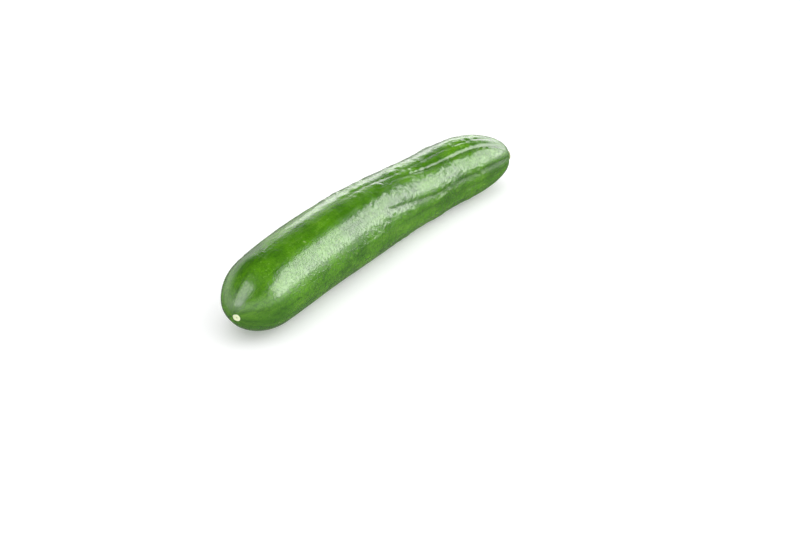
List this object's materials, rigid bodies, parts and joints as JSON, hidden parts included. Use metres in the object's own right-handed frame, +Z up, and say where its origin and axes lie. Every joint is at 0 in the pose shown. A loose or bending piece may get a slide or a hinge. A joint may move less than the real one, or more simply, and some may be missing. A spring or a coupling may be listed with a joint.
{
  "type": "whole cucumber",
  "caption": "Whole slicing cucumber lying on its side, gently bent, with a rounded blossom end, shallow furrows towards the stem end and a scar at each tip.",
  "frame": {"origin": "middle of the bottom of the box, on the surface that the cucumber rests on", "axes": "+X from the blossom end towards the stem end, +Y towards the outer side of the bend, +Z up"},
  "size_m": [0.2244, 0.0458, 0.0413],
  "materials": {
    "cucumber_skin": "smooth waxy green skin, glossy, with fine pale flecks"
  },
  "bodies": {
    "root": {"cucumber": "cucumber_skin"}
  },
  "joints": []
}
